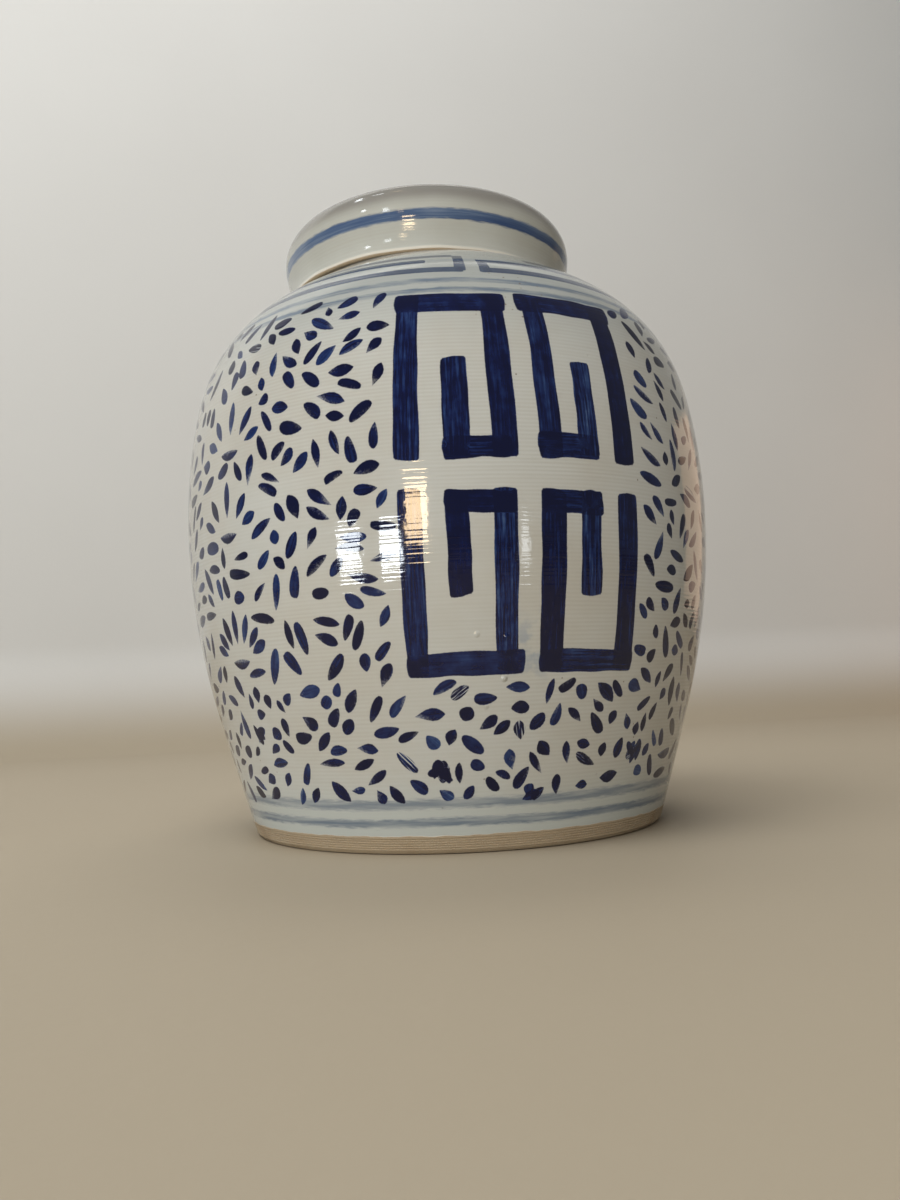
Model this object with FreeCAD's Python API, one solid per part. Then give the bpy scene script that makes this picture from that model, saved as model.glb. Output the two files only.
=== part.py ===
"""Ginger jar with a loose cap lid: a thrown stoneware vessel and the cap that covers its neck.

Two fired pieces, each one solid of revolution about +Z. Millimetres.
The origin is the centre of the circle that the foot stands on, and -Y is the painted front.
"""
import FreeCAD, Part
import math
import os

# Driving dimensions of the vessel
WALL = 6.5                # thickness of the thrown wall
FOOT_RADIUS = 80.5        # circle that the jar stands on
FOOT_BEVEL = 1.4          # bevel between the standing circle and the clay band
CLAY_BAND_TOP = 5.4       # where the bare clay band ends and the glaze begins
CLAY_BAND_RADIUS = 83.2   # radius of the wall at the top of the clay band
GROOVE_COUNT = 5          # turning grooves around the clay band
GROOVE_DEPTH = 0.22
FOOT_RING_WIDTH = 11.0    # from the standing circle in to the recess under the base
BASE_RECESS = 6.0         # height of the recess under the base
BASE_THICKNESS = 8.0
RECESS_FILLET = 3.0

# Stations of the outer wall above the clay band: height, radius
WALL_STATIONS = [
    (32.0, 91.3),
    (64.0, 99.9),
    (112.0, 106.0),
    (156.0, 103.6),
    (183.0, 95.8),
    (200.5, 82.6),
    (212.2, 66.7),
]

# The seat that the lid rests on, and the neck inside the lid
SEAT_HEIGHT = 216.0
SEAT_OUTER_RADIUS = 60.8
NECK_OUTER_RADIUS = 48.0
NECK_INNER_RADIUS = 42.5
NECK_TOP = 231.0
NECK_FILLET = 2.0         # where the neck rises out of the seat
NECK_LIP = 2.2            # rounding of the lip's two edges
THROAT_DEPTH = 8.0        # how far the mouth runs straight below the seat
CEILING_REACH = 12.0      # first point of the cavity's ceiling, out from the throat
CEILING_DROP = 4.5        # and down from it
FLOOR_FILLET = 14.0       # rounding between the cavity's wall and floor

# The lid
LID_TOP = 247.0           # crown of the slightly domed top
LID_SHIFT = 4.0           # the loose lid sits this far off the jar's axis, towards -X
LID_GAP = 0.2             # the rim's grit holds it this far off the seat
LID_RIM_RADIUS = 59.2
LID_WAIST_RADIUS = 59.0
LID_WAIST_HEIGHT = 223.5
LID_BULGE_RADIUS = 60.4
LID_BULGE_HEIGHT = 237.0
LID_EDGE_HEIGHT = 242.6   # where the side has turned over into the top
LID_EDGE_RADIUS = 57.4
LID_CROWN_START = 50.0    # radius at which the top is a shallow dome
LID_CROWN_START_HEIGHT = 245.2
LID_RIM_EDGE = 0.8        # rounding of the rim's outer edge
LID_WALL = 5.4
LID_INNER_FILLET = 6.0
LID_CEILING = 240.2       # underside of the top, inside


def point(radius, height):
    return FreeCAD.Vector(radius, 0, height)


def line(start, end):
    return Part.makeLine(point(*start), point(*end))


def arc(start, middle, end):
    return Part.Arc(point(*start), point(*middle), point(*end)).toShape()


def quarter_arc(start, end, corner, radius):
    """A rounded corner of one radius, from start to end, about the point opposite the corner."""
    centre = (start[0] + end[0] - corner[0], start[1] + end[1] - corner[1])
    reach = math.hypot(corner[0] - centre[0], corner[1] - centre[1])
    middle = (
        centre[0] + (corner[0] - centre[0]) * radius / reach,
        centre[1] + (corner[1] - centre[1]) * radius / reach,
    )
    return arc(start, middle, end)


def spline(points):
    """A smooth curve through the points."""
    curve = Part.BSplineCurve()
    curve.interpolate([point(*p) for p in points])
    return curve


def inner_points(curve, thickness, count):
    """Points one wall thickness inside an outer curve that is drawn upwards."""
    points = []
    for step in range(count):
        share = step / (count - 1)
        parameter = curve.FirstParameter + share * (curve.LastParameter - curve.FirstParameter)
        place = curve.value(parameter)
        along = curve.tangent(parameter)[0]
        points.append((place.x - along.z * thickness, place.z + along.x * thickness))
    return points


def revolved(edges, name):
    """The solid that a closed outline in the XZ plane sweeps about the Z axis."""
    wire = Part.Wire(edges)
    if not wire.isClosed():
        raise ValueError(name + ": the outline is open")
    face = Part.Face(wire)
    solid = face.revolve(FreeCAD.Vector(0, 0, 0), FreeCAD.Vector(0, 0, 1), 360)
    solid = Part.Solid(solid.Shells[0]) if solid.ShapeType != "Solid" else solid
    if solid.Volume < 0:
        solid.reverse()
    return solid


def outer_wall_curve():
    """The jar's outer wall, from the top of the clay band to the seat."""
    stations = [(radius, height) for height, radius in WALL_STATIONS]
    return spline([(CLAY_BAND_RADIUS, CLAY_BAND_TOP)] + stations + [(SEAT_OUTER_RADIUS, SEAT_HEIGHT)])


def clay_band_edges():
    """The bare clay band at the foot, cut by shallow turning grooves."""
    low = (FOOT_RADIUS + FOOT_BEVEL, FOOT_BEVEL)
    high = (CLAY_BAND_RADIUS, CLAY_BAND_TOP)
    edges = [line((FOOT_RADIUS, 0), low)]
    start = low
    for groove in range(GROOVE_COUNT):
        share = (groove + 1) / GROOVE_COUNT
        end = (low[0] + share * (high[0] - low[0]), low[1] + share * (high[1] - low[1]))
        middle = ((start[0] + end[0]) / 2 - GROOVE_DEPTH, (start[1] + end[1]) / 2)
        edges.append(arc(start, middle, end))
        start = end
    return edges


def neck_edges():
    """The seat, the neck and its lip, from the seat's outer edge round into the mouth."""
    foot_out = (NECK_OUTER_RADIUS + NECK_FILLET, SEAT_HEIGHT)
    foot_up = (NECK_OUTER_RADIUS, SEAT_HEIGHT + NECK_FILLET)
    lip_outer_low = (NECK_OUTER_RADIUS, NECK_TOP - NECK_LIP)
    lip_outer_top = (NECK_OUTER_RADIUS - NECK_LIP, NECK_TOP)
    lip_inner_top = (NECK_INNER_RADIUS + NECK_LIP, NECK_TOP)
    lip_inner_low = (NECK_INNER_RADIUS, NECK_TOP - NECK_LIP)
    throat_end = (NECK_INNER_RADIUS, SEAT_HEIGHT - THROAT_DEPTH)
    return [
        line((SEAT_OUTER_RADIUS, SEAT_HEIGHT), foot_out),
        quarter_arc(foot_out, foot_up, (NECK_OUTER_RADIUS, SEAT_HEIGHT), NECK_FILLET),
        line(foot_up, lip_outer_low),
        quarter_arc(lip_outer_low, lip_outer_top, (NECK_OUTER_RADIUS, NECK_TOP), NECK_LIP),
        line(lip_outer_top, lip_inner_top),
        quarter_arc(lip_inner_top, lip_inner_low, (NECK_INNER_RADIUS, NECK_TOP), NECK_LIP),
        line(lip_inner_low, throat_end),
    ]


def inner_wall_edges(outer):
    """The wall of the cavity, from the mouth's throat down and in to the middle of its floor."""
    floor = BASE_RECESS + BASE_THICKNESS
    throat = (NECK_INNER_RADIUS, SEAT_HEIGHT - THROAT_DEPTH)
    ceiling = (NECK_INNER_RADIUS + CEILING_REACH, throat[1] - CEILING_DROP)
    follow = inner_points(outer, WALL, 24)
    kept = [p for p in follow if floor + FLOOR_FILLET < p[1] < ceiling[1] - WALL]
    kept.reverse()
    wall_foot = kept[-1]
    floor_edge = (wall_foot[0] - FLOOR_FILLET, floor)
    corner = (wall_foot[0] - 0.26 * FLOOR_FILLET, floor + 0.26 * FLOOR_FILLET)
    return [
        spline([throat, ceiling] + kept).toShape(),
        arc(wall_foot, corner, floor_edge),
        line(floor_edge, (0, floor)),
    ]


def jar_body():
    outer = outer_wall_curve()
    ring_inner = FOOT_RADIUS - FOOT_RING_WIDTH
    recess_low = (ring_inner, BASE_RECESS - RECESS_FILLET)
    recess_high = (ring_inner - RECESS_FILLET, BASE_RECESS)
    edges = clay_band_edges()
    edges.append(outer.toShape())
    edges += neck_edges()
    edges += inner_wall_edges(outer)
    edges.append(line((0, BASE_RECESS + BASE_THICKNESS), (0, BASE_RECESS)))
    edges.append(line((0, BASE_RECESS), recess_high))
    edges.append(quarter_arc(recess_high, recess_low, (ring_inner, BASE_RECESS), RECESS_FILLET))
    edges.append(line(recess_low, (ring_inner, 0)))
    edges.append(line((ring_inner, 0), (FOOT_RADIUS, 0)))
    return revolved(edges, "jar_body")


def lid():
    """The cap: a slightly waisted side, a turned-over edge, a shallow dome and a hollow inside."""
    rim_bottom = SEAT_HEIGHT + LID_GAP
    rim_inner = LID_RIM_RADIUS - LID_WALL
    rim_low = (LID_RIM_RADIUS - LID_RIM_EDGE, rim_bottom)
    rim_side = (LID_RIM_RADIUS, rim_bottom + LID_RIM_EDGE)
    crown_edge = (LID_CROWN_START, LID_CROWN_START_HEIGHT)
    crown_rise = LID_TOP - LID_CROWN_START_HEIGHT
    side = spline([
        rim_side,
        (LID_WAIST_RADIUS, LID_WAIST_HEIGHT),
        (LID_BULGE_RADIUS, LID_BULGE_HEIGHT),
        (LID_EDGE_RADIUS, LID_EDGE_HEIGHT),
        crown_edge,
    ])
    crown = spline([
        crown_edge,
        (LID_CROWN_START / 2, LID_TOP - crown_rise / 4),
        (LID_CROWN_START / 4, LID_TOP - crown_rise / 16),
        (0, LID_TOP),
    ])
    ceiling_edge = (rim_inner - LID_INNER_FILLET, LID_CEILING)
    wall_top = (rim_inner, LID_CEILING - LID_INNER_FILLET)
    edges = [
        quarter_arc(rim_low, rim_side, (LID_RIM_RADIUS, rim_bottom), LID_RIM_EDGE),
        side.toShape(),
        crown.toShape(),
        line((0, LID_TOP), (0, LID_CEILING)),
        line((0, LID_CEILING), ceiling_edge),
        quarter_arc(ceiling_edge, wall_top, (rim_inner, LID_CEILING), LID_INNER_FILLET),
        line(wall_top, (rim_inner, rim_bottom)),
        line((rim_inner, rim_bottom), rim_low),
    ]
    cap = revolved(edges, "lid")
    cap.translate(FreeCAD.Vector(-LID_SHIFT, 0, 0))
    return cap


def main():
    os.makedirs("parts", exist_ok=True)
    for name, make in (("jar_body", jar_body), ("lid", lid)):
        solid = make()
        box = solid.BoundBox
        print(name, "valid", solid.isValid(), "volume cm3", round(solid.Volume / 1000, 1))
        print("  x %.2f to %.2f, z %.2f to %.2f" % (box.XMin, box.XMax, box.ZMin, box.ZMax))
        solid.exportStep("parts/" + name + ".step")


main()
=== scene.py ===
"""Ginger jar: brush-painted cobalt under a glossy ivory glaze, with a loose celadon-grey cap lid.

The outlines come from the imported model. The painted side is a triangle mesh that follows the edge of every
brush mark, and the rest of each piece is turned from its outline. Lengths are in millimetres until a mesh
is made.
"""
import bpy
import math
import numpy as np
from mathutils import Matrix, Vector
from mathutils.geometry import delaunay_2d_cdt
from mathutils.kdtree import KDTree


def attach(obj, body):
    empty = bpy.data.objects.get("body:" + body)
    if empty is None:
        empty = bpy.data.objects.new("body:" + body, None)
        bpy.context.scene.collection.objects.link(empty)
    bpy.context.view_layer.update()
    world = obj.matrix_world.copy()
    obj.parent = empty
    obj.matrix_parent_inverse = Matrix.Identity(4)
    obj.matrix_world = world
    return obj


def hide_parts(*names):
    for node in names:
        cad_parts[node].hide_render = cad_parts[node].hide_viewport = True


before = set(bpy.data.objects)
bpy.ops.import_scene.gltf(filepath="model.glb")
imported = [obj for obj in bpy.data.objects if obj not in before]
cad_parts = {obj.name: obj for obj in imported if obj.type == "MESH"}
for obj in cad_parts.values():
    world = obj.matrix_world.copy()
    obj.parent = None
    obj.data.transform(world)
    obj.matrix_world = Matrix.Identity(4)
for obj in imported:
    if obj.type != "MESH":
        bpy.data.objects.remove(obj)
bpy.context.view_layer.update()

MM = 0.001
SEGMENTS = 192            # corners of each turned circle, even so that one is at the back
BELLY = 106.0             # radius at which the widths of marks and panels are measured
FOOT_RADIUS = 83.2        # where the painted wall starts, above the bare clay
FOOT_HEIGHT = 5.4
SEAT_RADIUS = 60.8        # where the wall ends at the seat for the lid
SEAT_HEIGHT = 216.0
LID_AXIS = -4.0           # the lid sits a little off the jar's axis
INK_EDGE = 0.42           # width of the soft edge of a brush mark
STEP = 4.0                # spacing of the plain mesh between the marks
SEED = 11

# Places along the wall, measured up it from the foot
PANEL_ROWS = ((53.5, 113.5, True), (123.0, 183.5, False))           # low, high, turned over
PANEL_COLUMNS = ((-22.0, 38.5, False), (23.3, 37.5, True))          # middle, width, mirrored
PANEL_HALF_WIDTH = 46.0   # no dabs nearer than this to a panel's middle
PANEL_LOW = 51.0
PANEL_STROKE = 8.3
FLOWER_ROWS = ((63.0, 7), (107.0, 5), (136.0, 5))                   # place, petals
DABS_LOW, DABS_HIGH = 14.0, 187.0
DAB_TRIES = 42000
LOW_DABS = 52.0           # below this the dabs are smaller and closer
FRET_STROKE = 4.3
FRET_UNITS = 6

# The lid, as heights above the jar's foot and distances from the lid's axis
LID_SIDE_LOW, LID_SIDE_HIGH = (59.2, 217.5), (56.0, 243.6)
LID_CLAY_HEIGHT = 216.9
LID_INSIDE_CLAY = (54.5, 222.0)
LID_BAND_HEIGHT = 230.2
NECK_CLAY = (43.6, 215.0)  # outside this radius and above this height the jar is bare clay

# The camera, in degrees and metres
CAMERA_LENS = 28.14       # millimetres, on a 36 mm sensor
CAMERA_BEARING = -104.05
CAMERA_AWAY, CAMERA_HEIGHT = 0.395, 0.0537
CAMERA_RISE = 5.41        # how far above level it looks
CAMERA_ROLL = -2.42
FLOOR_DROP = 0.0002       # the floor lies this far under the foot, so that the two don't share a plane


# ---------------------------------------------------------------- outlines of the turned pieces

def outline_of(node, axis_x):
    """The node's outline (radius, height), from under its middle, up its outside and back to the axis inside it."""
    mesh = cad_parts[node].data
    points = np.empty(len(mesh.vertices) * 3)
    mesh.vertices.foreach_get("co", points)
    points = points.reshape(-1, 3) / MM
    on_seam = (np.abs(points[:, 1]) < 1e-3) & (points[:, 0] > axis_x - 1e-3)
    places = {}
    links = {}
    for edge in mesh.edges:
        a, b = edge.vertices
        if not (on_seam[a] and on_seam[b]):
            continue
        ends = []
        for v in (a, b):
            place = (points[v, 0] - axis_x, points[v, 2])
            key = (round(place[0], 3), round(place[1], 3))
            places[key] = place
            ends.append(key)
        if ends[0] != ends[1]:
            links.setdefault(ends[0], set()).add(ends[1])
            links.setdefault(ends[1], set()).add(ends[0])
    chain = [sorted(key for key in links if len(links[key]) == 1)[0]]
    seen = set(chain)
    while True:
        ahead = [key for key in links[chain[-1]] if key not in seen]
        if not ahead:
            break
        chain.append(ahead[0])
        seen.add(ahead[0])
    chain = [places[key] for key in chain]
    for end in (0, -1):
        if chain[end][0] > 1e-3:
            chain.insert(0 if end == 0 else len(chain), (0.0, chain[end][1]))
    if sum((b[0] + a[0]) * (b[1] - a[1]) for a, b in zip(chain, chain[1:])) < 0:
        chain.reverse()
    return [(0.0 if abs(r) < 1e-3 else r, z) for r, z in chain]


def nearest(outline, radius, height):
    """The number of the outline's point nearest to this place."""
    return min(range(len(outline)), key=lambda i: math.hypot(outline[i][0] - radius, outline[i][1] - height))


class WallCurve:
    """The painted wall from foot to seat, measured by the length s along it and by the angle-keeping length g."""

    def __init__(self, points):
        knots = np.array(points)
        gaps = np.hypot(*np.diff(knots, axis=0).T)
        at = np.concatenate([[0], np.cumsum(gaps)])
        self.s = np.linspace(0, at[-1], 4001)
        self.r = self.spline(at, knots[:, 0])
        self.z = self.spline(at, knots[:, 1])
        rise = 0.5 * (1 / self.r[1:] + 1 / self.r[:-1]) * np.diff(self.s)
        self.g = np.concatenate([[0], np.cumsum(rise)])
        slope_r = np.gradient(self.r, self.s)
        slope_z = np.gradient(self.z, self.s)
        size = np.hypot(slope_r, slope_z)
        self.out_r = slope_z / size
        self.out_z = -slope_r / size
        self.length = self.s[-1]

    def spline(self, at, values):
        """A natural cubic through the values, at every s."""
        gaps = np.diff(at)
        count = len(at)
        system = np.eye(count)
        right = np.zeros(count)
        for i in range(1, count - 1):
            system[i, i - 1:i + 2] = gaps[i - 1], 2 * (gaps[i - 1] + gaps[i]), gaps[i]
            right[i] = 6 * ((values[i + 1] - values[i]) / gaps[i] - (values[i] - values[i - 1]) / gaps[i - 1])
        bend = np.linalg.solve(system, right)
        i = np.clip(np.searchsorted(at, self.s, side="right") - 1, 0, count - 2)
        b = (self.s - at[i]) / gaps[i]
        a = 1 - b
        smooth = ((a ** 3 - a) * bend[i] + (b ** 3 - b) * bend[i + 1]) * gaps[i] ** 2 / 6
        return a * values[i] + b * values[i + 1] + smooth

    def read(self, name, value, by="s"):
        return np.interp(value, getattr(self, by), getattr(self, name))


# ---------------------------------------------------------------- brush marks

class Mark:
    """One brush mark: an outline in millimetres around its middle, which is at angle and g on the wall."""

    def __init__(self, wall, angle, s, outline, turn=0.0, tone=1.0, dry=0.3, core=0.7, seed=0.0):
        self.angle = angle
        self.g = float(wall.read("g", s))
        self.radius = float(wall.read("r", s))
        self.turn = turn
        self.local = outline
        across = outline[:, 1].max() - outline[:, 1].min()
        along = outline[:, 0].max() - outline[:, 0].min()
        self.length = along
        self.width = across
        self.outline = self.turned(outline)
        inner = outline * [max(0.3, 1 - 2.3 * INK_EDGE / along), max(0.3, 1 - 2 * INK_EDGE / across)]
        self.inner = self.turned(inner)
        self.reach = float(np.hypot(*outline.T).max()) + 0.1
        self.tone = tone
        self.dry = dry
        self.core = core
        self.seed = seed

    def turned(self, points):
        c, s = math.cos(self.turn), math.sin(self.turn)
        return np.stack([points[:, 0] * c - points[:, 1] * s, points[:, 0] * s + points[:, 1] * c], axis=1)

    def back(self, x, y):
        c, s = math.cos(self.turn), math.sin(self.turn)
        return x * c + y * s, -x * s + y * c

    def on_wall(self, points):
        return self.angle + points[:, 0] / self.radius, self.g + points[:, 1] / self.radius


def wave(rng, count, smooth):
    """Smooth closed noise of about -1 to 1."""
    turns = np.linspace(0, 2 * math.pi, count, endpoint=False)
    total = np.zeros(count)
    for k in range(1, smooth + 1):
        total += rng.uniform(-1, 1) / k ** 0.6 * np.cos(k * turns + rng.uniform(0, 2 * math.pi))
    return total / 1.6


def leaf(rng, length, width, belly=0.5, blunt=0.8, bend=0.0):
    """A dab of the brush: pointed or blunt at its ends, widest at belly."""
    side = 9
    along = (1 - np.cos(np.linspace(0, math.pi, side + 1))) / 2
    power = math.log(0.5) / math.log(belly)
    half = width / 2 * np.sin(math.pi * along ** power) ** blunt
    x = (along - 0.5) * length
    outline = np.concatenate([np.stack([x, -half], axis=1)[:-1], np.stack([x, half], axis=1)[:0:-1]])
    outline[:, 1] += bend * length * (0.25 - (outline[:, 0] / length) ** 2)
    outline *= 1 + 0.07 * wave(rng, len(outline), 4)[:, None]
    return outline


def bar(rng, length, width, rough=0.42):
    """A broad straight stroke with roundish, slightly uneven ends."""
    count = max(3, round(length / 2.4))
    x = np.linspace(-1, 1, count + 1)[1:-1] * (length / 2 - 0.12 * width)
    corner = np.array([
        [-0.12, 0.49], [-0.03, 0.42], [0.0, 0.22], [0.02, 0.0], [0.0, -0.22], [-0.03, -0.42], [-0.12, -0.49],
    ])
    end = corner * width + [length / 2, 0]
    edge = width / 2
    top = np.stack([x, np.full(len(x), edge)], axis=1)
    bottom = top * [1, -1]
    left = np.stack([-end[:, 0], end[:, 1]], axis=1)
    outline = np.concatenate([bottom, end[::-1], top[::-1], left])
    wobble = wave(rng, len(outline), 9) * rough
    outline[:, 1] += np.sign(outline[:, 1]) * wobble
    ends = np.abs(outline[:, 0]) > length / 2 - width * 0.3
    slant = outline[:, 1] * rng.uniform(-0.08, 0.08)
    outline[:, 0] += np.where(ends, np.sign(outline[:, 0]) * (wobble * 1.2 + slant), 0)
    return outline


def spread(angle):
    """The angle as -pi to pi."""
    return (angle + math.pi) % (2 * math.pi) - math.pi


def key_square(rng, wall, middle, s_low, s_high, width, mirror, flip):
    """One square of key fret, wound inwards in five separate strokes. Widths are measured at the belly."""
    stroke = PANEL_STROKE
    tall = s_high - s_low
    gap = (width - 3 * stroke) / 2
    strokes = [                # upright or level, its middle line, its two ends
        (True, stroke / 2, 0.0, tall),
        (False, tall - stroke / 2, 0.6, width),
        (True, width - stroke + stroke / 2, 0.0, tall - 0.8),
        (False, stroke / 2, stroke + gap, width - 0.8),
        (True, stroke + gap + stroke / 2, 0.8, tall - 2 * stroke - gap - 3.0),
    ]
    marks = []
    for upright, line, low, high in strokes:
        length = high - low
        x, y = (line, (low + high) / 2) if upright else ((low + high) / 2, line)
        turn = math.pi / 2 if upright else 0.0
        x = x - width / 2 + rng.uniform(-0.5, 0.5)
        y += rng.uniform(-0.5, 0.5)
        x = -x if mirror else x
        s = s_high - y if flip else s_low + y
        outline = bar(rng, length + rng.uniform(-0.8, 1.4), stroke + rng.uniform(-0.5, 0.9))
        marks.append(Mark(
            wall, middle + x / BELLY, s, outline, turn + rng.uniform(-0.02, 0.02),
            tone=rng.uniform(0.93, 1.14), dry=rng.uniform(0.2, 1.15), core=rng.uniform(0.3, 1.0),
            seed=rng.uniform(0, 100),
        ))
    return marks


def panels(rng, wall):
    """Three upright panels of key fret, each of two columns."""
    marks = []
    for third in range(3):
        middle = spread(third * 2 * math.pi / 3)
        for low, high, flip in PANEL_ROWS:
            for across, width, mirror in PANEL_COLUMNS:
                marks += key_square(rng, wall, middle + across / BELLY, low, high, width, mirror, flip)
    return marks


def flower_heads(rng, wall):
    """Three columns of fan-shaped flower heads, halfway between the panels."""
    marks = []
    for third in range(3):
        middle = spread((third + 0.5) * 2 * math.pi / 3)
        for s_low, petals in FLOWER_ROWS:
            angle = middle + rng.uniform(-3, 3) / BELLY
            for k in range(petals):
                lean = (k - (petals - 1) / 2) / ((petals - 1) / 2)
                length = 12.5 - 4.0 * abs(lean) + rng.uniform(-0.8, 0.8)
                place = lean * math.radians(82)
                tilt = lean * math.radians(64)
                x = 8.5 * math.sin(place) + math.sin(tilt) * length / 2
                y = 4.2 * math.cos(place) + math.cos(tilt) * length / 2
                outline = leaf(rng, length, rng.uniform(3.7, 4.6), 0.56, 0.62)
                marks.append(Mark(
                    wall, angle + x / BELLY, s_low + 2 + y, outline, math.pi / 2 - tilt,
                    tone=rng.uniform(0.75, 1.1), seed=rng.uniform(0, 100),
                ))
            outline = leaf(rng, 11.0, 4.2, 0.5, 0.7, -0.35)
            marks.append(Mark(
                wall, angle, s_low, outline, 0.0, tone=rng.uniform(0.85, 1.1), seed=rng.uniform(0, 100),
            ))
    return marks


def shoulder_fret(rng, wall):
    """A long-armed key fret in thin slate-blue strokes round the shoulder."""
    marks = []
    pitch = 2 * math.pi / FRET_UNITS
    for unit in range(FRET_UNITS):
        start = unit * pitch - 0.05
        long_arm = pitch - 0.10
        pieces = [
            (0.5 * long_arm, 198.0, long_arm, 0.0),
            (0.42 * long_arm, 206.6, 0.84 * long_arm, 0.0),
            (0.62 * long_arm, 213.6, 0.70 * long_arm, 0.0),
            (0.0, 202.4, 10.5, math.pi / 2),
            (long_arm, 205.4, 15.5, math.pi / 2),
        ]
        for across, s, size, turn in pieces:
            radius = float(wall.read("r", s))
            length = size if turn else size * radius
            outline = bar(rng, length + 2.0, FRET_STROKE, 0.35)
            marks.append(Mark(
                wall, spread(start + across), s, outline, turn,
                tone=0.60 + rng.uniform(-0.06, 0.06), dry=0.35, core=0.5, seed=unit * 9 + s,
            ))
    return marks


class Ground:
    """Remembers where marks lie, so that the next ones can be kept clear of them."""

    def __init__(self):
        self.cells = {}

    def spots(self, wall, mark, count):
        x = np.linspace(-0.5, 0.5, count) * (mark.length - mark.width * 0.7)
        points = mark.turned(np.stack([x, np.zeros(count)], axis=1))
        angle, g = mark.on_wall(points)
        return [(spread(a), b, mark.width * 0.42) for a, b in zip(angle, g)]

    def clear(self, wall, mark, gap, count):
        for a, b, size in self.spots(wall, mark, count):
            for i in (-1, 0, 1):
                for j in (-1, 0, 1):
                    for other in self.cells.get(((math.floor(a / 0.1) + i) % 63, math.floor(b / 0.1) + j), ()):
                        apart = math.hypot(spread(a - other[0]), b - other[1]) * mark.radius
                        if apart < size + other[2] + gap:
                            return False
        return True

    def add(self, wall, mark, count):
        for a, b, size in self.spots(wall, mark, count):
            self.cells.setdefault((math.floor(a / 0.1) % 63, math.floor(b / 0.1)), []).append((a, b, size))


def flow(angle, s):
    """The way the leaf dabs lean, as if they grew on curling stems."""
    x = angle * 3
    return (
        0.9 * math.sin(x * 2 + s * 0.045 + 0.6) + 0.8 * math.cos(x * 3 - s * 0.071 + 1.9)
        + 0.6 * math.sin(x * 5 + s * 0.03 + 4.0) + 0.5
    )


def leaf_dabs(rng, wall, ground):
    """Leaf dabs scattered over the ground between the panels and the flower heads, denser below the panels."""
    marks = []
    for _ in range(DAB_TRIES):
        angle = rng.uniform(-math.pi, math.pi)
        s = rng.uniform(DABS_LOW, DABS_HIGH)
        if rng.uniform(0, 1) > float(wall.read("r", s)) / BELLY:
            continue
        beside = min(abs(spread(angle - k * 2 * math.pi / 3)) for k in range(3)) * BELLY
        if beside < PANEL_HALF_WIDTH and PANEL_LOW < s < DABS_HIGH:
            continue
        low = s < LOW_DABS
        length = float(np.clip(rng.normal(8.4 if low else 9.7, 1.9), 5.4, 14.5))
        width = float(np.clip(rng.normal(4.15, 0.55), 3.0, 5.6))
        turn = flow(angle, s) + (0.62 if rng.uniform(0, 1) < 0.5 else -0.62) + rng.normal(0, 0.28)
        outline = leaf(rng, length, width, rng.uniform(0.34, 0.66), rng.uniform(0.34, 0.8), rng.uniform(-0.24, 0.24))
        mark = Mark(
            wall, angle, s, outline, turn, tone=float(np.clip(rng.normal(1.02, 0.13), 0.66, 1.28)),
            dry=rng.uniform(0.1, 0.6) if rng.uniform(0, 1) < 0.97 else 1.6, core=rng.uniform(0.2, 1.0),
            seed=rng.uniform(0, 100),
        )
        if ground.clear(wall, mark, 0.35 if low else 0.55, 5):
            ground.add(wall, mark, 5)
            marks.append(mark)
    return marks


def accidents(rng, wall, ground):
    """A few blots, where a loaded brush touched the wall more than once."""
    marks = []
    for angle, s, size, arms in (
        (-0.30, 22.5, 8.0, 5), (0.04, 14.5, 6.5, 4), (0.50, 26.0, 9.0, 5), (-1.05, 38.0, 8.0, 4), (2.2, 31.0, 8.0, 4),
        (-2.6, 24.0, 7.5, 5), (1.6, 40.0, 7.0, 4),
    ):
        for k in range(arms):
            turn = rng.uniform(0, 2 * math.pi)
            length = size * rng.uniform(0.6, 1.1)
            x, y = rng.uniform(-0.32, 0.32) * size, rng.uniform(-0.22, 0.22) * size
            outline = leaf(rng, length, rng.uniform(3.0, 4.6), rng.uniform(0.35, 0.65), 0.5)
            mark = Mark(
                wall, angle + x / BELLY, s + y, outline, turn, tone=rng.uniform(0.9, 1.2),
                dry=0.5 if k else 1.6, seed=rng.uniform(0, 100),
            )
            ground.add(wall, mark, 4)
            marks.append(mark)
    return marks


def all_marks(wall):
    """Every brush mark. Later ones keep clear of earlier ones, so the order matters."""
    rng = np.random.default_rng(SEED)
    marks = panels(rng, wall) + flower_heads(rng, wall)
    ground = Ground()
    for mark in marks:
        ground.add(wall, mark, 5 if mark.length < 20 else 9)
    marks += accidents(rng, wall, ground)
    marks += leaf_dabs(rng, wall, ground)
    marks += shoulder_fret(rng, wall)
    return marks


# ---------------------------------------------------------------- the painted wall's mesh

def plain_points(rng, wall, marked):
    """Evenly spread points for the plain wall, kept off the marks' outlines."""
    tree = KDTree(len(marked[0]))
    for i, (angle, g) in enumerate(zip(*marked)):
        tree.insert((math.exp(g) * math.cos(angle), math.exp(g) * math.sin(angle), 0.0), i)
    tree.balance()
    angles = []
    lengths = []
    rows = round(wall.length / STEP)
    for row in range(1, rows):
        s = wall.length * row / rows
        radius = float(wall.read("r", s))
        count = round(2 * math.pi * radius / STEP)
        for k in range(count):
            angle = 2 * math.pi * (k + 0.5 * (row % 2) + rng.uniform(-0.15, 0.15)) / count
            g = float(wall.read("g", s + rng.uniform(-0.5, 0.5)))
            size = math.exp(g)
            apart = tree.find((size * math.cos(angle), size * math.sin(angle), 0.0))[2]
            if apart / size * radius > 0.9:
                angles.append(angle)
                lengths.append(g)
    return np.array(angles), np.array(lengths)


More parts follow.
